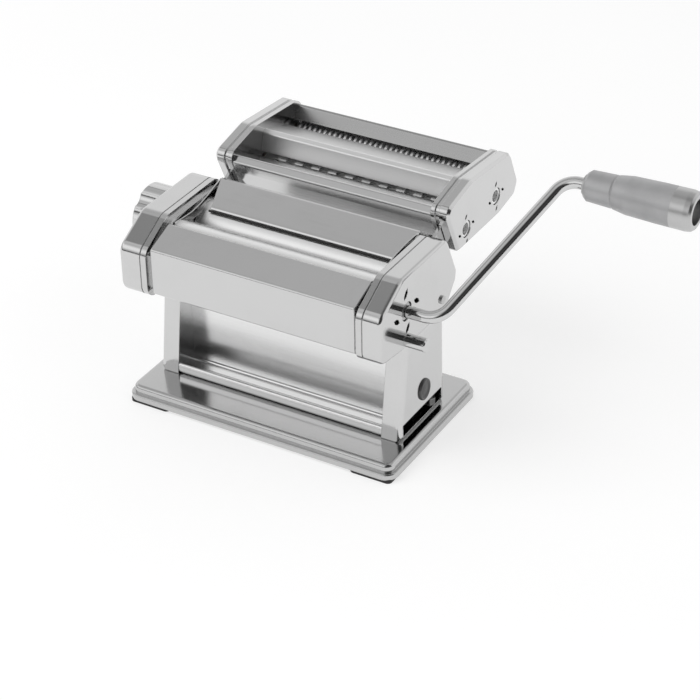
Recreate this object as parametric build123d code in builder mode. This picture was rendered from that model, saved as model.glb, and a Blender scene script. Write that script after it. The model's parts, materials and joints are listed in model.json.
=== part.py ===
"""Hand-cranked pasta roller machine with a two-width cutter attachment.

Frame: X runs along the rollers with the crank on the +X side, -Y is the front where the
sheet of pasta comes out, +Z is up.  The origin is the middle of the footprint, at table level.
"""

import os
from math import cos, radians, sin

from build123d import *

os.makedirs("parts", exist_ok=True)

# ---- driving dimensions (mm) ----
BASE_LENGTH, BASE_DEPTH, BASE_TOP = 203.0, 119.0, 12.3
BASE_CORNER, BASE_SHEET, BASE_STEP = 9.0, 1.2, 2.5
FOOT_HEIGHT, SKIRT_TOP = 2.4, 6.6

SHEET = 1.5                      # gauge of the pressed steel covers
PLATE_IN, PLATE_OUT = 74.8, 78.0  # inner side plates
RIM_OUT = 81.2                   # turned rim of the inner side plates
GROOVE_OUT, GROOVE_DEPTH = 77.2, 4.4   # recess round the edge of the inner side plates
CAP_IN, CAP_WALL = 82.0, 1.8
CAP_OUT = {"left": 97.8, "right": 94.8}   # the cover over the gap adjustment is deeper
PILLAR_IN, PILLAR_OUT, PILLAR_TOP = 78.0, 92.4, 84.0

ROLLER_RADIUS, ROLLER_HALF = 17.8, 74.2
ROLLER_CENTRES = 36.0            # distance between the roller axes at the closest setting
GAP_TRAVEL = 2.2                 # the rear roller backs away by this much
FRONT_AXIS = (-27.3, 110.7)      # (y, z)
REAR_AXIS = (FRONT_AXIS[0] + ROLLER_CENTRES, FRONT_AXIS[1])
REGULATOR_AXIS = (4.7, 107.7)    # the knob turns about this axis, just below the rear roller
SHAFT_RADIUS, RUNNING_FIT = 6.0, 0.05

CUTTER_CENTRES = 17.0
WIDE_AXIS = (65.2, 121.1)        # driver of the wide cutter (y, z)
NARROW_AXIS = (107.5, 124.8)     # driver of the narrow cutter
CUTTER_RADIUS, CUTTER_CORE = 9.5, 7.1
WIDE_STRIP, NARROW_STRIP = 6.5, 2.0

ATT_PLATE_IN, ATT_PLATE_OUT = 74.8, 77.6
ATT_CAP_IN, ATT_CAP_OUT = 80.8, 88.0
LIFT_ANGLE = 25.0                # the attachment slides up, leaning forward by this angle

SOCKET_BORE, CRANK_RADIUS = 4.1, 4.0
SLOT_WIDTH, TANG_WIDTH = 2.8, 2.6   # cross slot at the foot of a drive socket, and the tang in it
SOCKET_FLOOR, BORE_FLOOR = 79.0, 82.4   # foot of the cross slot and of the round bore
GRIP_AXIS = (66.0, 174.4)        # (y, z) of the crank's grip
GRIP_START, GRIP_END = 171.0, 243.5
CRANK_ELBOW = 117.0              # where the shaft turns into the arm

# ---- outlines, as (y, z) points ----
HEAD = [(-60.5, 87.5), (-60.5, 121.0), (-33.5, 135.6), (26.4, 135.6), (40.0, 106.4),
        (39.0, 99.5), (27.5, 86.0), (-33.0, 84.0)]
HEAD_RADII = [9, 9, 12, 9, 6, 5, 4, 6]
ATTACHMENT = [(54.28, 109.0), (36.95, 146.16), (72.0, 153.4), (127.6, 148.8), (140.0, 122.0),
              (135.0, 113.0), (112.0, 108.8)]
ATTACHMENT_RADII = [4, 7, 12, 9, 6, 6, 8]
PILLAR = [(-31.5, BASE_TOP), (-22.0, PILLAR_TOP), (27.0, PILLAR_TOP), (29.0, BASE_TOP)]
SIDES = (("left", -1), ("right", 1))


def at_x(x):
    """Sketch plane across the rollers, with local x along Y and local y along Z."""
    return Plane.YZ.offset(x)


def outline(points, radii, inset=0.0, mode=Mode.ADD):
    """Rounded closed outline in the sketch in progress, moved inwards by inset."""
    with BuildSketch(mode=Mode.PRIVATE) as shape:
        with BuildLine():
            FilletPolyline(*points, radius=radii, close=True)
        make_face()
        if inset:
            offset(amount=-inset, mode=Mode.REPLACE)
    add(shape.sketch, mode=mode)


def slab(side, near, far, mode=Mode.ADD):
    """Extrude the sketches in progress outwards on one side."""
    extrude(amount=side * (far - near), mode=mode)


def bar(x0, x1, centres, radius, mode=Mode.ADD):
    """Round bars along X between x0 and x1, one at each (y, z) centre."""
    with BuildSketch(at_x(x0)) as disc:
        with Locations(*centres):
            Circle(radius)
    extrude(disc.sketch, amount=x1 - x0, mode=mode)


def strip(points, thickness, x0, x1, bend=1.0):
    """Folded sheet along X that follows the given (y, z) points, and hangs in one piece."""
    with BuildSketch(at_x(x0)) as section:
        with BuildLine() as path:
            if len(points) > 2:
                FilletPolyline(*points, radius=bend)
            else:
                Line(*points)
        trace(path.line, line_width=thickness)
    extrude(section.sketch, amount=x1 - x0)


def gear(x0, x1, centre, teeth, module, bore, turn=0.0):
    """Straight-toothed gear with a little backlash, its first tooth at angle turn."""
    pitch = module * teeth / 2
    root, tip = pitch - 1.05 * module, pitch + 0.85 * module
    root_half, tip_half = 0.36, 0.12   # half widths of a tooth, as shares of the tooth spacing
    step = 360.0 / teeth
    corners = []
    for tooth in range(teeth):
        for radius, share in ((root, -root_half), (tip, -tip_half), (tip, tip_half), (root, root_half)):
            angle = radians(turn + (tooth + share) * step)
            corners.append((radius * cos(angle), radius * sin(angle)))
    with BuildSketch(at_x(x0)) as section:
        with Locations(centre):
            Polygon(*corners, align=None)
            Circle(bore, mode=Mode.SUBTRACT)
    extrude(section.sketch, amount=x1 - x0)


# ================= base and pillars =================
FOOT_LENGTH, FOOT_WIDTH = 30.0, 13.0
FOOT_X, FOOT_Y = BASE_LENGTH - 34.0, BASE_DEPTH - 15.0   # spacing of the feet
SCREW_X, SCREW_FRONT, SCREW_REAR = 85.2, -22.0, 21.0
SCREW_SPOTS = [(side * SCREW_X, y) for _, side in SIDES for y in (SCREW_FRONT, SCREW_REAR)]
SCREW_HOLE, SCREW_RADIUS = 2.6, 2.5
SCREW_HEAD, HEAD_HEIGHT, NUT_HEIGHT = 4.2, 2.2, 2.6
SKIRT_ROUND, TOP_ROUND = 1.2, 2.6


def base_rectangle(inset):
    """Rounded rectangle of the footprint, smaller by inset all round."""
    RectangleRounded(BASE_LENGTH - 2 * inset, BASE_DEPTH - 2 * inset, BASE_CORNER - inset)


with BuildPart() as base_plate:
    with BuildSketch(Plane.XY.offset(FOOT_HEIGHT)):
        base_rectangle(0)
    extrude(amount=SKIRT_TOP - FOOT_HEIGHT)
    fillet(base_plate.faces().sort_by(Axis.Z)[-1].edges(), SKIRT_ROUND)
    with BuildSketch(Plane.XY.offset(SKIRT_TOP - 1)):
        base_rectangle(BASE_STEP)
    extrude(amount=BASE_TOP - SKIRT_TOP + 1)
    fillet(base_plate.faces().sort_by(Axis.Z)[-1].edges(), TOP_ROUND)
    with BuildSketch(Plane.XY.offset(FOOT_HEIGHT)):
        base_rectangle(BASE_STEP + BASE_SHEET)
    extrude(amount=BASE_TOP - BASE_SHEET - FOOT_HEIGHT, mode=Mode.SUBTRACT)
    with BuildSketch(Plane.XY):
        with Locations(*SCREW_SPOTS):
            Circle(SCREW_HOLE)
    extrude(amount=BASE_TOP + 1, mode=Mode.SUBTRACT)
base_plate.part.label = "base_plate"
export_step(base_plate.part, "parts/base_plate.step")

with BuildPart() as rubber_feet:
    with BuildSketch(Plane.XY):
        with GridLocations(FOOT_X, FOOT_Y, 2, 2):
            RectangleRounded(FOOT_LENGTH, FOOT_WIDTH, 3)
    extrude(amount=FOOT_HEIGHT)
rubber_feet.part.label = "rubber_feet"
export_step(rubber_feet.part, "parts/rubber_feet.step")

with BuildPart() as foot_screws:
    with BuildSketch(Plane.XY.offset(BASE_TOP - BASE_SHEET - HEAD_HEIGHT)):
        with Locations(*SCREW_SPOTS):
            Circle(SCREW_HEAD)
    extrude(amount=HEAD_HEIGHT)
    with BuildSketch(Plane.XY.offset(BASE_TOP - BASE_SHEET)):
        with Locations(*SCREW_SPOTS):
            Circle(SCREW_RADIUS)
    extrude(amount=BASE_SHEET + SHEET + NUT_HEIGHT + 0.2)
    with BuildSketch(Plane.XY.offset(BASE_TOP + SHEET)):
        with Locations(*SCREW_SPOTS):
            RegularPolygon(SCREW_HEAD, 6)
    extrude(amount=NUT_HEIGHT)
foot_screws.part.label = "foot_screws"
export_step(foot_screws.part, "parts/foot_screws.step")

PILLAR_RADII = [0.8, 0.8, 0.8, 0.8]
PILLAR_ROUND, LINER = 4.5, 1.2
SLOT_LOW, SLOT_HIGH, SLOT_FRONT, SLOT_REAR = 14.0, 24.4, -27.5, 24.0
for name, side in SIDES:
    with BuildPart() as side_frame:
        with BuildSketch(at_x(side * PILLAR_IN)):
            outline(PILLAR, PILLAR_RADII)
        slab(side, PILLAR_IN, PILLAR_OUT)
        web = side_frame.faces().sort_by(Axis.X)[-1 if side > 0 else 0]
        fillet(web.edges().filter_by(lambda edge: edge.bounding_box().size.Z > 60), PILLAR_ROUND)
        with BuildSketch(at_x(side * PILLAR_IN)):
            outline(PILLAR, PILLAR_RADII, inset=SHEET)
        slab(side, PILLAR_IN, PILLAR_OUT - SHEET, mode=Mode.SUBTRACT)
        with BuildSketch(Plane.XY):
            with Locations(*SCREW_SPOTS):
                Circle(SCREW_HOLE)
        extrude(amount=BASE_TOP + 5, mode=Mode.SUBTRACT)
        if side > 0:
            with BuildSketch(at_x(PILLAR_OUT - 4)):
                with Locations(((SLOT_FRONT + SLOT_REAR) / 2, (SLOT_LOW + SLOT_HIGH) / 2)):
                    RectangleRounded(SLOT_REAR - SLOT_FRONT, SLOT_HIGH - SLOT_LOW, 1.5)
            extrude(amount=8, mode=Mode.SUBTRACT)
    side_frame.part.label = f"side_frame_{name}"
    export_step(side_frame.part, f"parts/side_frame_{name}.step")

    with BuildPart() as pillar_liner:
        with BuildSketch(at_x(side * PILLAR_IN)):
            outline(PILLAR, PILLAR_RADII, inset=SHEET)
        slab(side, PILLAR_IN, PILLAR_IN + LINER)
    pillar_liner.part.label = f"pillar_liner_{name}"
    export_step(pillar_liner.part, f"parts/pillar_liner_{name}.step")

BACK_Y, BACK_TOP, FLOOR_Z, BACK_SHEET = -11.0, 83.5, 13.2, 1.2
LIP_TOP, LIP_FRONT, LIP_BACK = 20.2, -30.0, -27.2    # turned-up front edge of the floor
LIP_BENDS = [1.2, 2.0, 3.0]
with BuildPart() as back_panel:
    with BuildSketch(at_x(-PILLAR_IN)):
        with BuildLine() as panel_path:
            FilletPolyline((LIP_BACK, LIP_TOP - 1), (LIP_FRONT, LIP_TOP), (LIP_FRONT, FLOOR_Z),
                           (BACK_Y, FLOOR_Z), (BACK_Y, BACK_TOP), radius=LIP_BENDS)
        trace(panel_path.line, line_width=BACK_SHEET)
    extrude(amount=2 * PILLAR_IN)
back_panel.part.label = "back_panel"
export_step(back_panel.part, "parts/back_panel.step")

# ================= head =================
BUSH_RADIUS = 9.0
TIE_SPOTS = [(-50.5, 118.0), (-48.0, 96.0), (32.6, 108.5)]
TIE_RADIUS, TIE_NUT = 3.0, 4.0
BLOCK_HALF, WINDOW_PLAY = 10.5, 0.3
RIM, FIT = 1.6, 0.01
for name, side in SIDES:
    with BuildPart() as inner_plate:
        with BuildSketch(at_x(side * PLATE_IN)):
            outline(HEAD, HEAD_RADII)
        slab(side, PLATE_IN, RIM_OUT)
        with BuildSketch(at_x(side * PLATE_OUT)):
            outline(HEAD, HEAD_RADII, inset=RIM)
        slab(side, PLATE_OUT, RIM_OUT, mode=Mode.SUBTRACT)
        with BuildSketch(at_x(side * PLATE_IN)):
            outline(HEAD, HEAD_RADII, inset=-1)
            outline(HEAD, HEAD_RADII, inset=GROOVE_DEPTH, mode=Mode.SUBTRACT)
        slab(side, PLATE_IN, GROOVE_OUT, mode=Mode.SUBTRACT)
        bar(side * PLATE_IN, side * PLATE_OUT, [FRONT_AXIS], BUSH_RADIUS, mode=Mode.SUBTRACT)
        with BuildSketch(at_x(side * PLATE_IN)):
            with Locations((REAR_AXIS[0] + GAP_TRAVEL / 2, REAR_AXIS[1])):
                window = 2 * (BLOCK_HALF + WINDOW_PLAY)
                Rectangle(window + GAP_TRAVEL, window)
            with Locations(*TIE_SPOTS):
                Circle(TIE_RADIUS)
        slab(side, PLATE_IN, PLATE_OUT, mode=Mode.SUBTRACT)
        # room at the foot of the plate for the pillar that stands below it
        with BuildSketch(at_x(side * PILLAR_IN)):
            outline(PILLAR, PILLAR_RADII, inset=-FIT)
        slab(side, PILLAR_IN, RIM_OUT, mode=Mode.SUBTRACT)
    inner_plate.part.label = f"inner_plate_{name}"
    export_step(inner_plate.part, f"parts/inner_plate_{name}.step")

# outer covers over the gears (right) and the gap adjustment (left)
POST_AXIS, POST_END, POST_RADIUS, POST_STEM = (-27.0, 89.8), 109.0, 4.5, 3.0
COVER_SCREW = {"left": (-42.0, 100.0), "right": (18.9, 94.5)}
STAR_RADIUS, BLADE_LENGTH, BLADE_BULGE, STAR_TURN, BLADE_TURN = 12.8, 8.6, 1.6, 5, -38
SMALL_STAR, SMALL_BLADE = 9.3, 4.8
SOCKET_HOLE, KNOB_HOLE, SCREW_BORE = 6.5, 7.9, 1.5
CAP_ROUND, LIP_OUTER, LIP_INNER, LIP_OVERLAP = 2.8, 1.0, 3.4, 1.0


def star(centre, distance, length):
    """Four leaf-shaped blades that swirl around a drive hole, through the cover's face."""
    bulge = BLADE_BULGE * length / BLADE_LENGTH
    leaf = [(-length / 2, 0), (-length / 5, bulge), (length / 5, bulge), (length / 2, 0),
            (length / 5, -bulge), (-length / 5, -bulge)]
    for quarter in range(4):
        angle = 90 * quarter + STAR_TURN
        middle = (centre[0] + distance * cos(radians(angle)), centre[1] + distance * sin(radians(angle)))
        with Locations(Location(middle, angle + BLADE_TURN)):
            Polygon(*leaf, align=None)


for name, side in SIDES:
    with BuildPart() as end_cover:
        with BuildSketch(at_x(side * CAP_IN)):
            outline(HEAD, HEAD_RADII)
        slab(side, CAP_IN, CAP_OUT[name])
        fillet(end_cover.faces().sort_by(Axis.X)[-1 if side > 0 else 0].edges(), CAP_ROUND)
        with BuildSketch(at_x(side * CAP_IN)):
            outline(HEAD, HEAD_RADII, inset=CAP_WALL)
        slab(side, CAP_IN, CAP_OUT[name] - CAP_WALL, mode=Mode.SUBTRACT)
        with BuildSketch(at_x(side * RIM_OUT)):
            outline(HEAD, HEAD_RADII, inset=LIP_OUTER)
            outline(HEAD, HEAD_RADII, inset=LIP_INNER, mode=Mode.SUBTRACT)
        slab(side, RIM_OUT, CAP_IN + LIP_OVERLAP)
        if side > 0:
            with BuildSketch(at_x(CAP_OUT[name] + 1)):
                with Locations(FRONT_AXIS):
                    Circle(SOCKET_HOLE)
                star(FRONT_AXIS, STAR_RADIUS, BLADE_LENGTH)
                with Locations(POST_AXIS):
                    Circle(POST_STEM)
            extrude(amount=-CAP_WALL - 2, mode=Mode.SUBTRACT)
        else:
            bar(-CAP_OUT[name] - 1, -CAP_IN - 2, [REGULATOR_AXIS], KNOB_HOLE, mode=Mode.SUBTRACT)
        bar(side * (CAP_OUT[name] + 1), side * (CAP_OUT[name] - CAP_WALL - 1), [COVER_SCREW[name]],
            SCREW_BORE, mode=Mode.SUBTRACT)
        # opening for the pillar that stands inside the cover
        with BuildSketch(at_x(side * (PILLAR_IN - 1))):
            outline(PILLAR, PILLAR_RADII, inset=-0.2)
        slab(side, PILLAR_IN - 1, PILLAR_OUT + 0.2, mode=Mode.SUBTRACT)
    end_cover.part.label = f"end_cover_{name}"
    export_step(end_cover.part, f"parts/end_cover_{name}.step")

COVER_HALF, THIN_SHEET, SCRAPER_SHEET = PLATE_IN - 0.05, 1.2, 0.8
FRONT_COVER = [(-52.0, 90.4), (-57.0, 90.4), (-57.0, 122.4), (-35.6, 130.3), (-33.5, 129.2)]
HOPPER = [(-0.4, 127.9), (-1.7, 129.3), (26.6, 135.0), (31.0, 125.6)]
REAR_COVER = [(31.6, 124.2), (37.8, 107.0), (36.6, 99.8), (26.8, 88.4), (26.8, 84.6)]
FRONT_SCRAPER = [(-33.8, 93.0), (-45.0, 90.2), (-50.6, 90.2)]
REAR_SCRAPER = [(17.6, 93.0), (22.2, 90.6), (25.4, 90.6)]

with BuildPart() as front_cover:
    strip(FRONT_COVER, SHEET, -COVER_HALF, COVER_HALF, bend=1.3)
front_cover.part.label = "front_cover"
export_step(front_cover.part, "parts/front_cover.step")

with BuildPart() as hopper_plate:
    strip(HOPPER, THIN_SHEET, -COVER_HALF, COVER_HALF, bend=0.8)
hopper_plate.part.label = "hopper_plate"
export_step(hopper_plate.part, "parts/hopper_plate.step")

with BuildPart() as rear_cover:
    strip(REAR_COVER, THIN_SHEET, -COVER_HALF, COVER_HALF, bend=2.0)
rear_cover.part.label = "rear_cover"
export_step(rear_cover.part, "parts/rear_cover.step")

with BuildPart() as front_scraper:
    strip(FRONT_SCRAPER, SCRAPER_SHEET, -COVER_HALF, COVER_HALF)
front_scraper.part.label = "front_scraper"
export_step(front_scraper.part, "parts/front_scraper.step")

with BuildPart() as rear_scraper:
    strip(REAR_SCRAPER, SCRAPER_SHEET, -COVER_HALF, COVER_HALF)
rear_scraper.part.label = "rear_scraper"
export_step(rear_scraper.part, "parts/rear_scraper.step")

NUT_FACE = PLATE_OUT + 1.4
with BuildPart() as tie_rods:
    bar(-NUT_FACE, NUT_FACE, TIE_SPOTS, TIE_RADIUS)
tie_rods.part.label = "tie_rods"
export_step(tie_rods.part, "parts/tie_rods.step")

with BuildPart() as tie_rod_nuts:
    for name, side in SIDES:
        bar(side * PLATE_OUT, side * NUT_FACE, TIE_SPOTS, TIE_NUT)
    bar(-NUT_FACE, NUT_FACE, TIE_SPOTS, TIE_RADIUS, mode=Mode.SUBTRACT)
tie_rod_nuts.part.label = "tie_rod_nuts"
export_step(tie_rod_nuts.part, "parts/tie_rod_nuts.step")

with BuildPart() as front_bushes:
    for name, side in SIDES:
        bar(side * PLATE_IN, side * PLATE_OUT, [FRONT_AXIS], BUSH_RADIUS)
    bar(-RIM_OUT, RIM_OUT, [FRONT_AXIS], SHAFT_RADIUS + RUNNING_FIT, mode=Mode.SUBTRACT)
front_bushes.part.label = "front_bushes"
export_step(front_bushes.part, "parts/front_bushes.step")

POST_START = CAP_OUT["right"]
POST_FOOT = POST_START - CAP_WALL    # inner side of the right cover's face
with BuildPart() as motor_post:
    bar(POST_START, POST_END, [POST_AXIS], POST_RADIUS)
    chamfer(motor_post.faces().sort_by(Axis.X)[-1].edges(), 0.8)
    bar(POST_FOOT - 1.5, POST_START, [POST_AXIS], POST_STEM)
    bar(POST_FOOT - 1.5, POST_FOOT, [POST_AXIS], 1.2 * POST_STEM)
motor_post.part.label = "motor_post"
export_step(motor_post.part, "parts/motor_post.step")

with BuildPart() as cover_screws:
    for name, side in SIDES:
        outer, inner = CAP_OUT[name], CAP_OUT[name] - CAP_WALL
        bar(side * (inner - 1.6), side * outer, [COVER_SCREW[name]], SCREW_BORE)
        bar(side * outer, side * (outer + 1.2), [COVER_SCREW[name]], 2.8)
        bar(side * (inner - 1.2), side * inner, [COVER_SCREW[name]], 3.2)
cover_screws.part.label = "cover_screws"
export_step(cover_screws.part, "parts/cover_screws.step")

# rails that the cutter attachment slides down onto
LIFT = (-sin(radians(LIFT_ANGLE)), cos(radians(LIFT_ANGLE)))
ACROSS = (LIFT[1], -LIFT[0])
RAIL_LOW, RAIL_HIGH, RAIL_TIP = 6.0, 24.0, 4.2
RAIL_IN, RAIL_OUT = 78.1, 80.3
HEAD_EDGE = HEAD[4]
HEAD_GAP = ((HEAD_EDGE[0] - ATTACHMENT[0][0]) * ACROSS[0]
            + (HEAD_EDGE[1] - ATTACHMENT[0][1]) * ACROSS[1])


def slanted(up, over):
    """Point (y, z) at a distance up and across the attachment's front edge."""
    origin = ATTACHMENT[0]
    return (origin[0] + up * LIFT[0] + over * ACROSS[0], origin[1] + up * LIFT[1] + over * ACROSS[1])


def slanted_box(low, high, near, far):
    """Corners of a rectangle that is aligned with the attachment's front edge."""
    return [slanted(low, near), slanted(high, near), slanted(high, far), slanted(low, far)]


with BuildPart() as attachment_rails:
    for name, side in SIDES:
        with BuildSketch(at_x(side * RAIL_IN)):
            Polygon(*slanted_box(RAIL_LOW, RAIL_HIGH, HEAD_GAP + 0.03, RAIL_TIP), align=None)
        slab(side, RAIL_IN, RAIL_OUT)
attachment_rails.part.label = "attachment_rails"
export_step(attachment_rails.part, "parts/attachment_rails.step")

# ================= rollers =================
GEAR_IN, GEAR_OUT, GEAR_MODULE, GEAR_TEETH = 80.7, 87.7, 2.0, 18
STUB_END, SOCKET_END = 79.4, 93.8
HALF_TOOTH = 180.0 / GEAR_TEETH

with BuildPart() as front_roller:
    bar(-ROLLER_HALF, ROLLER_HALF, [FRONT_AXIS], ROLLER_RADIUS)
    bar(-ROLLER_HALF, ROLLER_HALF, [FRONT_AXIS], SHAFT_RADIUS, mode=Mode.SUBTRACT)
front_roller.part.label = "front_roller"
export_step(front_roller.part, "parts/front_roller.step")

with BuildPart() as front_roller_shaft:
    bar(-STUB_END, SOCKET_FLOOR, [FRONT_AXIS], SHAFT_RADIUS)
front_roller_shaft.part.label = "front_roller_shaft"
export_step(front_roller_shaft.part, "parts/front_roller_shaft.step")


def socket(centre, mouth):
    """Round bore from the mouth inwards, with a cross slot at its foot for the crank's tang."""
    bar(BORE_FLOOR, mouth, [centre], SOCKET_BORE, mode=Mode.SUBTRACT)
    with BuildSketch(at_x(SOCKET_FLOOR)) as slot:
        with Locations(centre):
            Rectangle(2 * SOCKET_BORE, SLOT_WIDTH)
    extrude(slot.sketch, amount=BORE_FLOOR - SOCKET_FLOOR, mode=Mode.SUBTRACT)


with BuildPart() as drive_socket:
    bar(SOCKET_FLOOR, SOCKET_END, [FRONT_AXIS], SHAFT_RADIUS)
    socket(FRONT_AXIS, SOCKET_END)
drive_socket.part.label = "drive_socket"
export_step(drive_socket.part, "parts/drive_socket.step")

with BuildPart() as front_gear:
    gear(GEAR_IN, GEAR_OUT, FRONT_AXIS, GEAR_TEETH, GEAR_MODULE, SHAFT_RADIUS)
front_gear.part.label = "front_gear"
export_step(front_gear.part, "parts/front_gear.step")

with BuildPart() as bearing_blocks:
    for name, side in SIDES:
        with BuildSketch(at_x(side * PLATE_IN)):
            with Locations(REAR_AXIS):
                Rectangle(2 * BLOCK_HALF, 2 * BLOCK_HALF)
                Circle(SHAFT_RADIUS + RUNNING_FIT, mode=Mode.SUBTRACT)
        slab(side, PLATE_IN, PLATE_OUT)
bearing_blocks.part.label = "bearing_blocks"
export_step(bearing_blocks.part, "parts/bearing_blocks.step")

with BuildPart() as rear_roller:
    bar(-ROLLER_HALF, ROLLER_HALF, [REAR_AXIS], ROLLER_RADIUS)
    bar(-ROLLER_HALF, ROLLER_HALF, [REAR_AXIS], SHAFT_RADIUS, mode=Mode.SUBTRACT)
rear_roller.part.label = "rear_roller"
export_step(rear_roller.part, "parts/rear_roller.step")

with BuildPart() as rear_roller_shaft:
    bar(-STUB_END, GEAR_OUT + 1.2, [REAR_AXIS], SHAFT_RADIUS)
rear_roller_shaft.part.label = "rear_roller_shaft"
export_step(rear_roller_shaft.part, "parts/rear_roller_shaft.step")

with BuildPart() as rear_gear:
    gear(GEAR_IN, GEAR_OUT, REAR_AXIS, GEAR_TEETH, GEAR_MODULE, SHAFT_RADIUS, turn=HALF_TOOTH)
rear_gear.part.label = "rear_gear"
export_step(rear_gear.part, "parts/rear_gear.step")

# ================= gap regulator =================
CAM_IN, CAM_OUT, CAM_RADIUS = 81.2, 86.0, 11.5
KNOB_IN, KNOB_FLANGE, KNOB_END, KNOB_RADIUS = 98.6, 101.8, 119.0, 21.4
KNOB_LOBES, KNOB_WALL, KNOB_CUP = 7, 2.2, 8.0
SCALLOP, SCALLOP_DEPTH, FINGER, FINGER_DEPTH, FINGER_ANGLE = 12.0, 0.8, 8.0, 3.4, 128
HEAD_IN, HEAD_OUT = 112.2, 114.0
SPINDLE_RADIUS, SPRING_OUTER, SPRING_INNER = 4.5, 7.2, 5.2

with BuildPart() as regulator_cam:
    bar(-CAM_IN, -CAM_OUT, [(REGULATOR_AXIS[0] + GAP_TRAVEL / 2, REGULATOR_AXIS[1])], CAM_RADIUS)
regulator_cam.part.label = "regulator_cam"
export_step(regulator_cam.part, "parts/regulator_cam.step")

with BuildPart() as regulator_shaft:
    bar(-CAM_OUT, -HEAD_OUT, [REGULATOR_AXIS], SPINDLE_RADIUS)
    bar(-HEAD_IN, -HEAD_OUT, [REGULATOR_AXIS], SPRING_OUTER)
    bar(-CAM_OUT, -CAM_OUT - 1.5, [REGULATOR_AXIS], 2 * SPINDLE_RADIUS)
regulator_shaft.part.label = "regulator_shaft"
export_step(regulator_shaft.part, "parts/regulator_shaft.step")

with BuildPart() as regulator_knob:
    bar(-KNOB_IN, -KNOB_END, [REGULATOR_AXIS], KNOB_RADIUS)
    chamfer(regulator_knob.faces().sort_by(Axis.X)[0].edges(), 1.2)
    with BuildSketch(at_x(-KNOB_IN - 5)) as scallops:
        with Locations(REGULATOR_AXIS):
            with PolarLocations(KNOB_RADIUS + SCALLOP - SCALLOP_DEPTH, KNOB_LOBES):
                Circle(SCALLOP)
            with PolarLocations(KNOB_RADIUS + FINGER - FINGER_DEPTH, 1, start_angle=FINGER_ANGLE):
                Circle(FINGER)
    extrude(scallops.sketch, amount=-(KNOB_END - KNOB_IN), mode=Mode.SUBTRACT)
    bar(-KNOB_FLANGE, -KNOB_END + KNOB_WALL, [REGULATOR_AXIS], KNOB_CUP, mode=Mode.SUBTRACT)
    bar(-KNOB_IN, -KNOB_FLANGE, [REGULATOR_AXIS], SPINDLE_RADIUS + 0.1, mode=Mode.SUBTRACT)
regulator_knob.part.label = "regulator_knob"
export_step(regulator_knob.part, "parts/regulator_knob.step")

with BuildPart() as knob_spring:
    bar(-KNOB_FLANGE, -HEAD_IN, [REGULATOR_AXIS], SPRING_OUTER)
    bar(-KNOB_FLANGE, -HEAD_IN, [REGULATOR_AXIS], SPRING_INNER, mode=Mode.SUBTRACT)
knob_spring.part.label = "knob_spring"
export_step(knob_spring.part, "parts/knob_spring.step")

# ================= crank =================
SHAFT_TIP, TANG_END, GRIP_CORNER, ROD_END = SOCKET_FLOOR + 0.4, BORE_FLOOR + 0.4, 156.0, 236.5
ELBOW_RADIUS, WASHER_RADIUS = 14.0, 6.6
with BuildPart() as crank_rod:
    with BuildLine():
        FilletPolyline((SHAFT_TIP, *FRONT_AXIS), (CRANK_ELBOW, *FRONT_AXIS),
                       (GRIP_CORNER, *GRIP_AXIS), (ROD_END, *GRIP_AXIS), radius=ELBOW_RADIUS)
    with BuildSketch(at_x(SHAFT_TIP)):
        with Locations(FRONT_AXIS):
            Circle(CRANK_RADIUS)
    sweep()
    with BuildSketch(at_x(SHAFT_TIP - 1)):
        with Locations(FRONT_AXIS):
            Rectangle(4 * CRANK_RADIUS, 4 * CRANK_RADIUS)
            Rectangle(4 * CRANK_RADIUS, TANG_WIDTH, mode=Mode.SUBTRACT)
    extrude(amount=TANG_END - SHAFT_TIP + 1, mode=Mode.SUBTRACT)
crank_rod.part.label = "crank_rod"
export_step(crank_rod.part, "parts/crank_rod.step")

with BuildPart() as crank_washers:
    bar(GRIP_START - 1.6, GRIP_START - 0.3, [GRIP_AXIS], WASHER_RADIUS)
    bar(ROD_END - 2.0, ROD_END - 0.6, [GRIP_AXIS], WASHER_RADIUS)
    bar(GRIP_START - 2, ROD_END, [GRIP_AXIS], CRANK_RADIUS, mode=Mode.SUBTRACT)
crank_washers.part.label = "crank_washers"
export_step(crank_washers.part, "parts/crank_washers.step")

RING_START, POCKET_FLOOR, POCKET_RADIUS = 229.5, 234.1, 8.4
GRIP_PROFILE = [(GRIP_START, 8.4), (GRIP_START + 2, 10.0), (GRIP_START + 18, 10.6),
                (GRIP_START + 19, 10.3), (GRIP_START + 20, 10.9), (RING_START - 30, 12.3),
                (RING_START - 10, 12.9), (RING_START, 13.0)]
RING_PROFILE = [(RING_START, 13.0), (GRIP_END - 5, 13.1), (GRIP_END - 1.5, 12.5), (GRIP_END, 11.2)]


def turned(profile, bore):
    """Body of revolution about the grip's axis, from (x, radius) points."""
    height = GRIP_AXIS[1]
    points = [(x, height + r) for x, r in profile]
    points += [(profile[-1][0], height + bore), (profile[0][0], height + bore)]
    with BuildSketch(Plane.XZ.offset(-GRIP_AXIS[0])) as section:
        Polygon(*points, align=None)
    revolve(section.sketch, axis=Axis((0, GRIP_AXIS[0], height), (1, 0, 0)))


with BuildPart() as crank_grip:
    turned(GRIP_PROFILE, CRANK_RADIUS + RUNNING_FIT)
crank_grip.part.label = "crank_grip"
export_step(crank_grip.part, "parts/crank_grip.step")

with BuildPart() as grip_end_ring:
    turned(RING_PROFILE, CRANK_RADIUS + RUNNING_FIT)
    bar(POCKET_FLOOR, GRIP_END, [GRIP_AXIS], POCKET_RADIUS, mode=Mode.SUBTRACT)
grip_end_ring.part.label = "grip_end_ring"
export_step(grip_end_ring.part, "parts/grip_end_ring.step")

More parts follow.
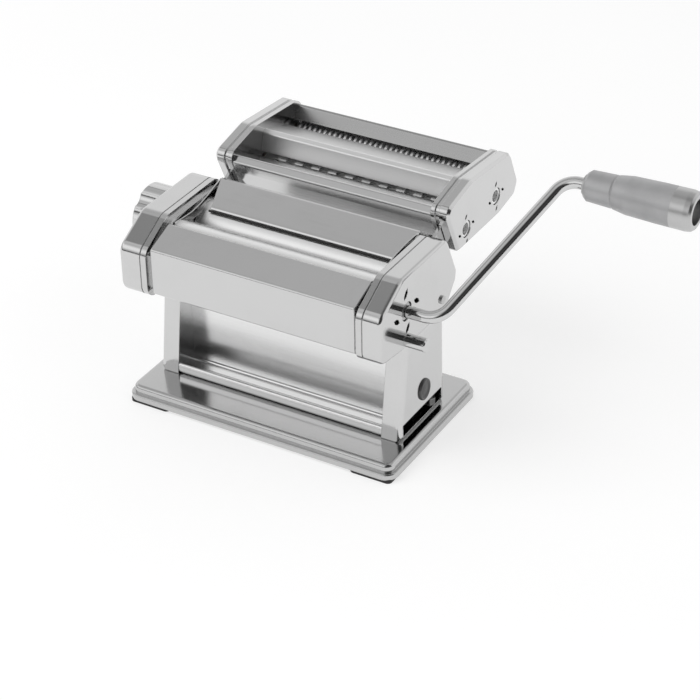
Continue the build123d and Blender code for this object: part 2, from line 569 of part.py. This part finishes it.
# ================= cutter attachment =================
ATT_TIES = [(53.0, 131.5), (95.0, 136.5), (94.8, 118.2)]
ATT_TIE, ATT_TIE_HEAD = 2.5, 3.2
ATT_BUSH, CUTTER_SHAFT, HUB_RADIUS = 5.6, 3.5, 5.5
ATT_WALL, ATT_CHAMFER, ATT_LIP_INNER, ATT_SHEET = 1.6, 1.8, 2.2, 1.0
RAIL_SLOT = slanted_box(-12, RAIL_HIGH + 0.4, -3, RAIL_TIP + 0.5)
WIDE_DRIVEN = (WIDE_AXIS[0] + CUTTER_CENTRES, WIDE_AXIS[1])
NARROW_DRIVEN = (NARROW_AXIS[0] + CUTTER_CENTRES, NARROW_AXIS[1])
CUTTER_AXES = [WIDE_AXIS, WIDE_DRIVEN, NARROW_AXIS, NARROW_DRIVEN]
ATT_HALF = ATT_PLATE_IN - 0.05

for name, side in SIDES:
    with BuildPart() as cutter_plate:
        with BuildSketch(at_x(side * ATT_PLATE_IN)):
            outline(ATTACHMENT, ATTACHMENT_RADII)
            with Locations(*CUTTER_AXES):
                Circle(ATT_BUSH, mode=Mode.SUBTRACT)
            with Locations(*ATT_TIES):
                Circle(ATT_TIE, mode=Mode.SUBTRACT)
        slab(side, ATT_PLATE_IN, ATT_PLATE_OUT)
    cutter_plate.part.label = f"cutter_plate_{name}"
    export_step(cutter_plate.part, f"parts/cutter_plate_{name}.step")

    with BuildPart() as cutter_cover:
        with BuildSketch(at_x(side * ATT_CAP_IN)):
            outline(ATTACHMENT, ATTACHMENT_RADII)
        slab(side, ATT_CAP_IN, ATT_CAP_OUT)
        chamfer(cutter_cover.faces().sort_by(Axis.X)[-1 if side > 0 else 0].edges(), ATT_CHAMFER)
        with BuildSketch(at_x(side * ATT_CAP_IN)):
            outline(ATTACHMENT, ATTACHMENT_RADII, inset=ATT_WALL)
        slab(side, ATT_CAP_IN, ATT_CAP_OUT - ATT_WALL, mode=Mode.SUBTRACT)
        with BuildSketch(at_x(side * ATT_PLATE_OUT)):
            outline(ATTACHMENT, ATTACHMENT_RADII, inset=LIP_OUTER)
            outline(ATTACHMENT, ATTACHMENT_RADII, inset=ATT_LIP_INNER, mode=Mode.SUBTRACT)
            Polygon(*RAIL_SLOT, align=None, mode=Mode.SUBTRACT)
        slab(side, ATT_PLATE_OUT, ATT_CAP_IN + LIP_OVERLAP)
        if side > 0:
            with BuildSketch(at_x(ATT_CAP_OUT + 1)):
                for centre in (WIDE_AXIS, NARROW_AXIS):
                    with Locations(centre):
                        Circle(HUB_RADIUS + 0.4)
                    star(centre, SMALL_STAR, SMALL_BLADE)
            extrude(amount=-4, mode=Mode.SUBTRACT)
    cutter_cover.part.label = f"cutter_cover_{name}"
    export_step(cutter_cover.part, f"parts/cutter_cover_{name}.step")

CUTTER_FRONT = [slanted(9.0, 2.6), slanted(25.0, 1.2), slanted(33.8, 1.2), (45.6, 143.2), (70.4, 131.9)]
CUTTER_MIDDLE = [(77.3, 132.0), (80.6, 144.2), (83.6, 145.4), (110.4, 136.5)]
CUTTER_REAR = [(120.6, 136.8), (125.4, 146.3), (128.1, 144.0), (137.9, 121.9), (133.4, 113.4)]

with BuildPart() as cutter_front_sheet:
    strip(CUTTER_FRONT, ATT_SHEET, -ATT_HALF, ATT_HALF, bend=1.2)
cutter_front_sheet.part.label = "cutter_front_sheet"
export_step(cutter_front_sheet.part, "parts/cutter_front_sheet.step")

with BuildPart() as cutter_middle_sheet:
    strip(CUTTER_MIDDLE, ATT_SHEET, -ATT_HALF, ATT_HALF, bend=1.2)
cutter_middle_sheet.part.label = "cutter_middle_sheet"
export_step(cutter_middle_sheet.part, "parts/cutter_middle_sheet.step")

with BuildPart() as cutter_rear_sheet:
    strip(CUTTER_REAR, ATT_SHEET, -ATT_HALF, ATT_HALF, bend=1.2)
cutter_rear_sheet.part.label = "cutter_rear_sheet"
export_step(cutter_rear_sheet.part, "parts/cutter_rear_sheet.step")

with BuildPart() as cutter_tie_rods:
    bar(-ATT_PLATE_OUT, ATT_PLATE_OUT, ATT_TIES, ATT_TIE)
    for name, side in SIDES:
        bar(side * ATT_PLATE_OUT, side * (ATT_PLATE_OUT + 1.0), ATT_TIES, ATT_TIE_HEAD)
cutter_tie_rods.part.label = "cutter_tie_rods"
export_step(cutter_tie_rods.part, "parts/cutter_tie_rods.step")

with BuildPart() as cutter_bushes:
    for name, side in SIDES:
        bar(side * ATT_PLATE_IN, side * ATT_PLATE_OUT, CUTTER_AXES, ATT_BUSH)
    bar(-ATT_CAP_OUT, ATT_CAP_OUT, CUTTER_AXES, CUTTER_SHAFT + RUNNING_FIT, mode=Mode.SUBTRACT)
cutter_bushes.part.label = "cutter_bushes"
export_step(cutter_bushes.part, "parts/cutter_bushes.step")

for label, axis in (("wide_combs", WIDE_AXIS), ("narrow_combs", NARROW_AXIS)):
    with BuildPart() as combs:
        for inward, centre in ((1, axis[0]), (-1, axis[0] + CUTTER_CENTRES)):
            root = (centre - 5.6 * inward, axis[1] - 10.0)
            tip = (centre + 0.8 * inward, axis[1] - 10.5)
            strip([root, tip], ATT_SHEET, -ATT_HALF, ATT_HALF)
    combs.part.label = label
    export_step(combs.part, f"parts/{label}.step")

CUTTER_HALF, DISC_CLEARANCE, HUB_START = 73.6, 0.3, 78.0
ATT_GEAR_IN, ATT_GEAR_OUT, ATT_GEAR_MODULE, ATT_GEAR_TEETH = 79.2, 85.2, 1.0, 17


def cutter(centre, strip_width, count, driver):
    """Cutting roller: a core with evenly spaced discs, and a hub with a socket on a driver."""
    height = centre[1]
    pitch = 2 * strip_width
    disc = (strip_width - DISC_CLEARANCE) / 2
    profile = [(-CUTTER_HALF, CUTTER_CORE)]
    for index in range(count):
        middle = (index - (count - 1) / 2) * pitch
        profile += [(middle - disc, CUTTER_CORE), (middle - disc, CUTTER_RADIUS),
                    (middle + disc, CUTTER_RADIUS), (middle + disc, CUTTER_CORE)]
    profile += [(CUTTER_HALF, CUTTER_CORE), (CUTTER_HALF, CUTTER_SHAFT), (-CUTTER_HALF, CUTTER_SHAFT)]
    with BuildSketch(Plane.XZ.offset(-centre[0])) as section:
        Polygon(*[(x, height + r) for x, r in profile], align=None)
    revolve(section.sketch, axis=Axis((0, centre[0], height), (1, 0, 0)))
    bar(-ATT_PLATE_OUT + 0.2, HUB_START if driver else ATT_GEAR_OUT + 0.4, [centre], CUTTER_SHAFT)
    if driver:
        bar(HUB_START, ATT_CAP_OUT - 0.8, [centre], HUB_RADIUS)
        socket(centre, ATT_CAP_OUT)


CUTTERS = (
    ("wide_cutter_driver", "wide_driver_gear", WIDE_AXIS, WIDE_STRIP, 11, True),
    ("wide_cutter_driven", "wide_driven_gear", WIDE_DRIVEN, WIDE_STRIP, 10, False),
    ("narrow_cutter_driver", "narrow_driver_gear", NARROW_AXIS, NARROW_STRIP, 35, True),
    ("narrow_cutter_driven", "narrow_driven_gear", NARROW_DRIVEN, NARROW_STRIP, 36, False),
)
for label, gear_label, centre, width, count, driver in CUTTERS:
    with BuildPart() as cutting_roller:
        cutter(centre, width, count, driver)
    cutting_roller.part.label = label
    export_step(cutting_roller.part, f"parts/{label}.step")

    with BuildPart() as cutter_gear:
        gear(ATT_GEAR_IN, ATT_GEAR_OUT, centre, ATT_GEAR_TEETH, ATT_GEAR_MODULE,
             HUB_RADIUS if driver else CUTTER_SHAFT)
    cutter_gear.part.label = gear_label
    export_step(cutter_gear.part, f"parts/{gear_label}.step")
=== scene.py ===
"""Looks of a hand-cranked pasta roller machine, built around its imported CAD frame.

Metres, in the frame's own axes: X along the rollers towards the crank, -Y the front, +Z up.
"""

import json
import math

import bmesh
import bpy
from mathutils import Matrix, Vector


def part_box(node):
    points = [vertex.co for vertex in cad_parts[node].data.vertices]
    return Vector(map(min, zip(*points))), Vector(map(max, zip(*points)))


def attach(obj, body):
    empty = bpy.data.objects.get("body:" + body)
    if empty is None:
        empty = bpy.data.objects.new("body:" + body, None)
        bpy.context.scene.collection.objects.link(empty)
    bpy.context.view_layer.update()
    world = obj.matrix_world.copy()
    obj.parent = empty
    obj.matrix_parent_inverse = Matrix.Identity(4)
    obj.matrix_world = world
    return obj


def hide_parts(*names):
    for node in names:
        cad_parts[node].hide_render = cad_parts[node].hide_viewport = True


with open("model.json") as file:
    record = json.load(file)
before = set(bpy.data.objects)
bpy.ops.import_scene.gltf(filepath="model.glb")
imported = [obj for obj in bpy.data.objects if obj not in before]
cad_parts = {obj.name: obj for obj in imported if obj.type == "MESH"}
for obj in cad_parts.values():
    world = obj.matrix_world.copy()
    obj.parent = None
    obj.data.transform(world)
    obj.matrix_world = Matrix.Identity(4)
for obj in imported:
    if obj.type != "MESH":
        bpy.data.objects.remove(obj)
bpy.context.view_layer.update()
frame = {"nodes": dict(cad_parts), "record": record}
NODES = frame["nodes"]

MM = 0.001

# ---- camera: where it stands around the object ----
VIEW_AZIMUTH, VIEW_ELEVATION, VIEW_ROLL = 30.5, 32.68, -0.97    # degrees
VIEW_DISTANCE, VIEW_LENS = 1.4476, 114.34                       # metres, millimetres of lens
VIEW_TARGET = Vector((0.0379, -0.0006, 0.0499))


def make_camera():
    azimuth, elevation = math.radians(VIEW_AZIMUTH), math.radians(VIEW_ELEVATION)
    back = Vector((math.sin(azimuth) * math.cos(elevation), -math.cos(azimuth) * math.cos(elevation),
                   math.sin(elevation)))
    camera_data = bpy.data.cameras.new("camera")
    camera_data.lens = VIEW_LENS
    camera_data.clip_end = 20
    camera = bpy.data.objects.new("camera", camera_data)
    right = Vector((math.cos(azimuth), math.sin(azimuth), 0))
    up = back.cross(right)
    turn = Matrix((right, up, back)).transposed().to_4x4()
    roll = Matrix.Rotation(math.radians(VIEW_ROLL), 4, "Z")
    camera.matrix_world = Matrix.Translation(VIEW_TARGET + back * VIEW_DISTANCE) @ turn @ roll
    bpy.context.scene.collection.objects.link(camera)
    bpy.context.scene.camera = camera


# ---- node helpers ----
class Nodes:
    """Short way to build a material's node tree."""

    def __init__(self, name):
        self.material = bpy.data.materials.new(name)
        self.material.use_nodes = True
        self.tree = self.material.node_tree
        self.shader = self.tree.nodes["Principled BSDF"]

    def add(self, kind, **values):
        node = self.tree.nodes.new(kind)
        for key, value in values.items():
            if hasattr(node, key):
                setattr(node, key, value)
            else:
                node.inputs[key.replace("_", " ")].default_value = value
        return node

    def link(self, source, target):
        self.tree.links.new(source, target)

    def noise(self, vector, **values):
        texture = self.add("ShaderNodeTexNoise", **values)
        self.link(vector, texture.inputs["Vector"])
        return texture.outputs["Fac"]

    def ramp(self, source, low, high, places=(0.0, 1.0)):
        """Colour that runs from low to high between two places of the source."""
        ramp = self.add("ShaderNodeValToRGB")
        for element, place, colour in zip(ramp.color_ramp.elements, places, (low, high)):
            element.position = place
            element.color = (*colour, 1)
        self.link(source, ramp.inputs["Fac"])
        return ramp.outputs["Color"]

    def remap(self, source, low, high, start=0.0, end=1.0):
        """Value that runs from low to high as the source runs from start to end."""
        node = self.add("ShaderNodeMapRange")
        for name, value in (("From Min", start), ("From Max", end), ("To Min", low), ("To Max", high)):
            node.inputs[name].default_value = value
        self.link(source, node.inputs["Value"])
        return node.outputs["Result"]

    def bump(self, height, strength, distance, normal=None):
        node = self.add("ShaderNodeBump")
        node.inputs["Strength"].default_value = strength
        node.inputs["Distance"].default_value = distance
        self.link(height, node.inputs["Height"])
        if normal:
            self.link(normal, node.inputs["Normal"])
        return node.outputs["Normal"]

    def scaled(self, source, factor, plus):
        """Source times a factor, plus a number or another socket."""
        node = self.add("ShaderNodeMath", operation="MULTIPLY_ADD")
        self.link(source, node.inputs[0])
        node.inputs[1].default_value = factor
        if isinstance(plus, float):
            node.inputs[2].default_value = plus
        else:
            self.link(plus, node.inputs[2])
        return node.outputs[0]


# sizes of the patterns on metal: per metre for scales, metres for distances
CLOUD_SCALE, STREAK_SCALE, SWELL_SCALE = 38.0, 900.0, 22.0
PATTERN_WEIGHT, PATTERN_BASE = 0.35, 0.33    # share of each pattern, and what is added to their sum
TONE_PLACES, GLOSS_PLACES = (0.35, 0.68), (0.3, 0.7)
SWELL_DEPTH, STREAK_DEPTH = 0.002, 0.0002
BEVEL_SAMPLES = 4


def metal(name, tone, dark, rough, rough_span=0.05, stretch=(1, 1, 1), streak=0.02, wave=0.0,
          edge=0.0003, cast=(1.0, 1.0, 1.0)):
    """Metal with uneven tone and gloss, fine streaks along one way, and softened edges."""
    n = Nodes(name)
    coords = n.add("ShaderNodeTexCoord").outputs["Object"]
    place = n.add("ShaderNodeMapping")
    place.inputs["Scale"].default_value = stretch
    n.link(coords, place.inputs["Vector"])
    cloud = n.noise(coords, Scale=CLOUD_SCALE, Detail=6.0, Roughness=0.6)
    fine = n.noise(place.outputs["Vector"], Scale=STREAK_SCALE, Detail=4.0, Roughness=0.65)
    total = n.scaled(cloud, PATTERN_WEIGHT, n.scaled(fine, PATTERN_WEIGHT, PATTERN_BASE))
    low, high = ([value * share for share in cast] for value in (dark, tone))
    n.link(n.ramp(total, low, high, TONE_PLACES), n.shader.inputs["Base Color"])
    n.link(n.remap(total, rough, rough + rough_span, *GLOSS_PLACES), n.shader.inputs["Roughness"])
    n.shader.inputs["Metallic"].default_value = 1.0
    soft = n.add("ShaderNodeBevel", samples=BEVEL_SAMPLES)
    soft.inputs["Radius"].default_value = edge
    normal = soft.outputs["Normal"]
    if wave:
        swell = n.noise(coords, Scale=SWELL_SCALE, Detail=1.0)
        normal = n.bump(swell, wave, SWELL_DEPTH, normal)
    n.link(n.bump(fine, streak, STREAK_DEPTH, normal), n.shader.inputs["Normal"])
    return n.material


# how the streaks are stretched: along the machine's length, or round it
ALONG_X, ROUND_X = (0.02, 1, 1), (1, 0.03, 0.03)
MATERIALS = {
    "chrome_plate": metal("chrome_plate", 0.62, 0.55, 0.06, 0.05, streak=0.012, wave=0.06,
                          edge=0.0006),
    "polished_sheet": metal("polished_sheet", 0.61, 0.53, 0.11, 0.06, ALONG_X, streak=0.05, wave=0.05),
    "brushed_steel": metal("brushed_steel", 0.52, 0.42, 0.26, 0.10, ROUND_X, streak=0.08),
    "dark_steel": metal("dark_steel", 0.30, 0.20, 0.28, 0.12, streak=0.08),
    "roller_aluminium": metal("roller_aluminium", 0.84, 0.76, 0.24, 0.08, ROUND_X, streak=0.05),
    "cutter_steel": metal("cutter_steel", 0.92, 0.80, 0.38, 0.10, ROUND_X, streak=0.06),
    "satin_sheet": metal("satin_sheet", 0.88, 0.80, 0.30, 0.08, ALONG_X, streak=0.05),
    "panel_sheet": metal("panel_sheet", 0.84, 0.76, 0.16, 0.06, ALONG_X, streak=0.06, wave=0.03),
    "base_chrome": metal("base_chrome", 0.54, 0.46, 0.10, 0.05, streak=0.012, wave=0.05, edge=0.0006),
    "grey_sheet": metal("grey_sheet", 0.40, 0.34, 0.20, 0.08, ALONG_X, streak=0.05),
    "badge_steel": metal("badge_steel", 0.12, 0.06, 0.30, 0.10),
    "grip_ring": metal("grip_ring", 0.52, 0.46, 0.24, 0.08, ROUND_X, streak=0.05),
    "brass": metal("brass", 0.70, 0.52, 0.22, 0.1, cast=(1.0, 0.78, 0.42)),
}


def satin_grip():
    """Satin silver finish with a fine grain."""
    n = Nodes("grip_aluminium")
    coords = n.add("ShaderNodeTexCoord").outputs["Object"]
    grain = n.noise(coords, Scale=2400.0, Detail=3.0)
    cloud = n.noise(coords, Scale=60.0, Detail=5.0)
    tone = n.ramp(cloud, (0.36, 0.36, 0.365), (0.45, 0.45, 0.455), (0.3, 0.75))
    n.link(tone, n.shader.inputs["Base Color"])
    n.link(n.remap(grain, 0.34, 0.46), n.shader.inputs["Roughness"])
    n.shader.inputs["Metallic"].default_value = 0.45
    n.link(n.bump(grain, 0.12, 0.0001), n.shader.inputs["Normal"])
    return n.material


def black_rubber():
    """Matt black rubber, slightly dusty."""
    n = Nodes("rubber")
    coords = n.add("ShaderNodeTexCoord").outputs["Object"]
    grain = n.noise(coords, Scale=900.0, Detail=5.0)
    tone = n.ramp(grain, (0.010, 0.010, 0.011), (0.035, 0.034, 0.033))
    n.link(tone, n.shader.inputs["Base Color"])
    n.link(n.remap(grain, 0.62, 0.85), n.shader.inputs["Roughness"])
    n.link(n.bump(grain, 0.4, 0.0003), n.shader.inputs["Normal"])
    return n.material


MATERIALS["grip_aluminium"] = satin_grip()
MATERIALS["rubber"] = black_rubber()

# ---- every CAD node takes the finish that the record names for it, or a close variant ----
FINISH = {"back_panel": "panel_sheet", "base_plate": "base_chrome",
          "cutter_middle_sheet": "satin_sheet", "cutter_rear_sheet": "grey_sheet",
          "wide_cutter_driver": "cutter_steel", "wide_cutter_driven": "cutter_steel",
          "narrow_cutter_driver": "cutter_steel", "narrow_cutter_driven": "cutter_steel"}
for part in frame["record"]["subparts"]:
    node = NODES[part["node"]]
    node.data.materials.clear()
    node.data.materials.append(MATERIALS[FINISH.get(part["node"], part["material_slot"])])


# ---- detail pieces ----
SOFT_SEGMENTS, SOFT_ANGLE = 2, 35    # of the rounding along edges, degrees between faces
ROUND_STEPS = 48


def build(name, points, faces, slot, body="machine", smooth=True, parts=()):
    """Mesh piece from millimetre points, riding on a body."""
    mesh = bpy.data.meshes.new(name)
    mesh.from_pydata([tuple(MM * value for value in point) for point in points], [], faces)
    mesh.validate()
    b = bmesh.new()
    b.from_mesh(mesh)
    bmesh.ops.recalc_face_normals(b, faces=b.faces)
    b.to_mesh(mesh)
    b.free()
    for face in mesh.polygons:
        face.use_smooth = smooth
    piece = bpy.data.objects.new(name, mesh)
    bpy.context.scene.collection.objects.link(piece)
    mesh.materials.append(MATERIALS[slot])
    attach(piece, body)
    for part in parts:
        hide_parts(part)
    return piece


def soften(piece, width):
    """Rounded edges on a piece, width in millimetres."""
    bevel = piece.modifiers.new("soften", "BEVEL")
    bevel.width, bevel.segments, bevel.limit_method = width * MM, SOFT_SEGMENTS, "ANGLE"
    bevel.angle_limit = math.radians(SOFT_ANGLE)


def sheet(rows):
    """Points and faces of a closed sheet. Each row is one closed outline, all of one length."""
    count = len(rows[0])
    points = [point for row in rows for point in row]
    faces = []
    for i in range(len(rows) - 1):
        for k in range(count):
            a, b = i * count + k, i * count + (k + 1) % count
            faces.append((a, b, b + count, a + count))
    last = (len(rows) - 1) * count
    return points, faces + [tuple(range(count)), tuple(range(last, last + count))]


def disc(name, centre, profile, slot, body="machine", squeeze=1.0, steps=ROUND_STEPS):
    """Turned piece about an axis along X, from (x, radius) points that start on the axis."""
    x0, y0, z0 = centre
    points = [(x0 + profile[0][0], y0, z0)]
    for x, radius in profile[1:]:
        for k in range(steps):
            angle = 2 * math.pi * k / steps
            points.append((x0 + x, y0 + radius * squeeze * math.cos(angle), z0 + radius * math.sin(angle)))
    faces = [(0, 1 + k, 1 + (k + 1) % steps) for k in range(steps)]
    for ring in range(len(profile) - 2):
        start = 1 + ring * steps
        for k in range(steps):
            faces.append((start + k, start + (k + 1) % steps, start + steps + (k + 1) % steps,
                          start + steps + k))
    last = 1 + (len(profile) - 2) * steps
    faces.append(tuple(range(last, last + steps)))
    return build(name, points, faces, slot, body)


def corner_mm(name):
    """Lowest and highest corner of a CAD node, in millimetres."""
    low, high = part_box(name)
    return [value / MM for value in low], [value / MM for value in high]


# badge on the right pillar: a plain dished disc with a raised rim
_, PILLAR_HIGH = corner_mm("side_frame_right")
BADGE_Y, BADGE_Z, BADGE_SQUEEZE = 0.0, 36.5, 0.9
BADGE = [(1.5, 0), (1.4, 2.0), (1.1, 3.6), (0.6, 4.9), (0.7, 5.6), (1.3, 6.1), (1.5, 6.8), (1.2, 7.4),
         (0.4, 7.7), (-0.5, 7.7)]
badge = disc("badge", (PILLAR_HIGH[0], BADGE_Y, BADGE_Z), BADGE, "dark_steel", squeeze=BADGE_SQUEEZE)
badge.data.materials[0] = MATERIALS["badge_steel"]

# hopper plate: its ends run inwards towards the rollers, and its front edge rolls over
HOPPER_LINE = [(0.6, 126.4), (-1.4, 127.0), (-2.3, 128.2), (-1.6, 129.3), (0.2, 129.8), (26.0, 135.0),
               (27.8, 134.9), (28.7, 133.6), (31.0, 126.0)]
HOPPER_GAUGE, HOPPER_EDGE, HOPPER_STEPS = 1.1, 0.5, 40
HOPPER_REACH, LEFT_TAPER, RIGHT_TAPER, TAPER_END = 74.6, 9.6, 3.0, 26.0


def hopper_half(y, side):
    """Half length of the hopper plate at a distance y back, on one side."""
    share = min(max(y / TAPER_END, 0.0), 1.0)
    return HOPPER_REACH - (LEFT_TAPER if side < 0 else RIGHT_TAPER) * (1.0 - share)


hopper_rows = []
for step in range(HOPPER_STEPS + 1):
    share = -1.0 + 2.0 * step / HOPPER_STEPS
    top = [(share * hopper_half(y, share), y, z) for y, z in HOPPER_LINE]
    under = []
    for index, (y, z) in enumerate(HOPPER_LINE):
        before, after = HOPPER_LINE[max(index - 1, 0)], HOPPER_LINE[min(index + 1, len(HOPPER_LINE) - 1)]
        along = Vector((after[0] - before[0], after[1] - before[1])).normalized()
        under.append((share * hopper_half(y, share), y + HOPPER_GAUGE * along.y, z - HOPPER_GAUGE * along.x))
    hopper_rows.append(top + under[::-1])
soften(build("hopper_sheet", *sheet(hopper_rows), "polished_sheet", smooth=False,
             parts=["hopper_plate"]), HOPPER_EDGE)

# black strip in front of the hopper plate's edge: painted shade, a dark piece put where there is only the
# shadowed gap between the hopper plate and the roller, not a real part
NIP_SHADE_LINE = [(-3.0, 126.2), (-3.2, 127.0), (-2.9, 127.6), (-2.3, 127.7), (-1.9, 127.2), (-1.7, 126.2)]
NIP_SHADE_LEFT, NIP_SHADE_RIGHT, THIN_EDGE = -66.0, 72.5, 0.3
soften(build("painted_nip_shade", *sheet([[(x, y, z) for y, z in NIP_SHADE_LINE] for x in (NIP_SHADE_LEFT, NIP_SHADE_RIGHT)]),
             "rubber"), THIN_EDGE)

# curved guides that keep the dough off the cheeks, one at each end of the rollers
GUIDE_LINE = [(74.4, -30.0, 129.4), (73.6, -22.0, 129.2), (72.6, -12.5, 129.4), (72.0, -2.5, 131.2),
              (72.6, 8.0, 133.0), (73.7, 18.0, 134.6), (74.4, 26.0, 135.2)]
GUIDE_GAUGE, GUIDE_DROP, GUIDE_REAR_DROP = 0.45, 7.0, 3.0
GUIDE_REAR_Y, GUIDE_DEEPEST_Y, GUIDE_FADE = 4.0, -2.5, 60.0    # the guide is deepest before GUIDE_REAR_Y
for side_name, side in (("left", -1), ("right", 1)):
    rows = []
    for x, y, z in GUIDE_LINE:
        if y < GUIDE_REAR_Y:
            foot = z - GUIDE_DROP * (1.0 - abs(y - GUIDE_DEEPEST_Y) / GUIDE_FADE)
        else:
            foot = z - GUIDE_REAR_DROP
        rows.append([(side * (x - GUIDE_GAUGE), y, z), (side * (x + GUIDE_GAUGE), y, z),
                     (side * (x + GUIDE_GAUGE), y, foot), (side * (x - GUIDE_GAUGE), y, foot)])
    soften(build(f"side_guide_{side_name}", *sheet(rows), "polished_sheet"), THIN_EDGE)


# ---- room: floor, sky and lamps ----
FLOOR_GLOW, FLOOR_HALF, FLOOR_TONES = 0.62, 6.0, (0.40, 0.43)


def make_floor():
    """Pale paper that glows a little, so that shadows on it stay faint."""
    mesh = bpy.data.meshes.new("floor")
    corners = [(-1, -1), (1, -1), (1, 1), (-1, 1)]
    mesh.from_pydata([(FLOOR_HALF * x, FLOOR_HALF * y, 0.0) for x, y in corners], [], [(0, 1, 2, 3)])
    floor = bpy.data.objects.new("floor", mesh)
    bpy.context.scene.collection.objects.link(floor)
    n = Nodes("floor_paper")
    cloud = n.noise(n.add("ShaderNodeTexCoord").outputs["Object"], Scale=3.0, Detail=3.0)
    low, high = ((tone, tone, tone) for tone in FLOOR_TONES)
    n.link(n.ramp(cloud, low, high), n.shader.inputs["Base Color"])
    n.shader.inputs["Emission Color"].default_value = (1, 1, 1, 1)
    n.shader.inputs["Emission Strength"].default_value = FLOOR_GLOW
    n.shader.inputs["Roughness"].default_value = 0.9
    n.shader.inputs["Specular IOR Level"].default_value = 0.1
    mesh.materials.append(n.material)


# brightness of the studio behind and before the object, as (sine of elevation, value)
SKY_BACK = [(0.00, 0.78), (0.10, 0.86), (0.30, 1.02), (0.56, 0.92), (0.66, 0.66), (0.78, 0.56),
            (0.90, 0.62), (1.00, 0.45)]
SKY_FRONT = [(0.00, 0.06), (0.08, 0.16), (0.18, 0.60), (0.40, 1.15), (0.60, 1.15), (0.74, 0.62), (0.90, 0.80),
             (1.00, 0.45)]
# dark strip across the top of the studio: its place, half width, flat middle and depth
BAND_MIDDLE, BAND_WIDTH, BAND_FLAT, BAND_DEPTH = -0.05, 0.13, 0.02, 0.55
# darkness on the right-hand side of the front: where it starts, where it is full, and what is left
RIGHT_START, RIGHT_END, RIGHT_DARK = 0.05, 0.30, 0.06
FRONT_TO_BACK = 0.12    # half width of the blend between the front and the back


def make_sky():
    """Pale studio, bright behind and in front, with a dark strip overhead and a dark front right."""
    world = bpy.data.worlds.new("studio")
    bpy.context.scene.world = world
    world.use_nodes = True
    tree = world.node_tree
    background = tree.nodes["Background"]

    def add(kind, operation=None, values=()):
        node = tree.nodes.new(kind)
        if operation:
            node.operation = operation
        for index, value in values:
            node.inputs[index].default_value = value
        return node

    def ramp_of(stops, source):
        ramp = add("ShaderNodeValToRGB")
        elements = ramp.color_ramp.elements
        while len(elements) < len(stops):
            elements.new(0.5)
        for element, (place, value) in zip(elements, stops):
            element.position = place
            element.color = (value, value, value, 1)
        tree.links.new(source, ramp.inputs["Fac"])
        return ramp.outputs["Color"]

    coords = add("ShaderNodeTexCoord")
    split = add("ShaderNodeSeparateXYZ")
    tree.links.new(coords.outputs["Generated"], split.inputs["Vector"])
    depth = add("ShaderNodeMapRange", values=((1, -FRONT_TO_BACK), (2, FRONT_TO_BACK), (3, 0.0), (4, 1.0)))
    depth.interpolation_type = "SMOOTHSTEP"
    tree.links.new(split.outputs["Y"], depth.inputs[0])
    blend = add("ShaderNodeMix")
    blend.data_type = "RGBA"
    tree.links.new(depth.outputs[0], blend.inputs["Factor"])
    tree.links.new(ramp_of(SKY_FRONT, split.outputs["Z"]), blend.inputs["A"])
    tree.links.new(ramp_of(SKY_BACK, split.outputs["Z"]), blend.inputs["B"])
    # distance from the middle of the strip, then how much of the light it leaves
    offset = add("ShaderNodeMath", "SUBTRACT", ((1, BAND_MIDDLE),))
    tree.links.new(split.outputs["Y"], offset.inputs[0])
    size = add("ShaderNodeMath", "ABSOLUTE")
    tree.links.new(offset.outputs[0], size.inputs[0])
    strip = add("ShaderNodeMapRange",
                values=((1, BAND_FLAT), (2, BAND_WIDTH), (3, 1.0 - BAND_DEPTH), (4, 1.0)))
    strip.interpolation_type = "SMOOTHSTEP"
    tree.links.new(size.outputs[0], strip.inputs[0])
    # the right-hand side of the front is dark, like the unlit room beside a camera
    right = add("ShaderNodeMapRange",
                values=((1, RIGHT_START), (2, RIGHT_END), (3, 1.0), (4, RIGHT_DARK)))
    tree.links.new(split.outputs["X"], right.inputs[0])
    side = add("ShaderNodeMix")
    side.inputs["B"].default_value = 1.0
    tree.links.new(depth.outputs[0], side.inputs["Factor"])
    tree.links.new(right.outputs[0], side.inputs["A"])
    both = add("ShaderNodeMath", "MULTIPLY")
    tree.links.new(strip.outputs[0], both.inputs[0])
    tree.links.new(side.outputs["Result"], both.inputs[1])
    tree.links.new(blend.outputs["Result"], background.inputs["Color"])
    tree.links.new(both.outputs[0], background.inputs["Strength"])


LAMP_TARGET = Vector((0, 0, 0.1))


def make_lamp(name, place, size, power):
    """Square lamp that faces the object and isn't seen in it."""
    data = bpy.data.lights.new(name, "AREA")
    data.shape, data.size, data.size_y = "RECTANGLE", size, size
    data.energy = power
    lamp = bpy.data.objects.new(name, data)
    lamp.location = place
    lamp.rotation_euler = (LAMP_TARGET - Vector(place)).to_track_quat("-Z", "Y").to_euler()
    lamp.visible_camera = False
    lamp.visible_glossy = False
    bpy.context.scene.collection.objects.link(lamp)


make_camera()
make_floor()
make_sky()
make_lamp("key", (-1.2, -1.0, 2.0), 1.6, 22)
make_lamp("fill", (1.8, -0.6, 1.6), 1.4, 10)
bpy.context.scene.view_settings.view_transform = "Standard"
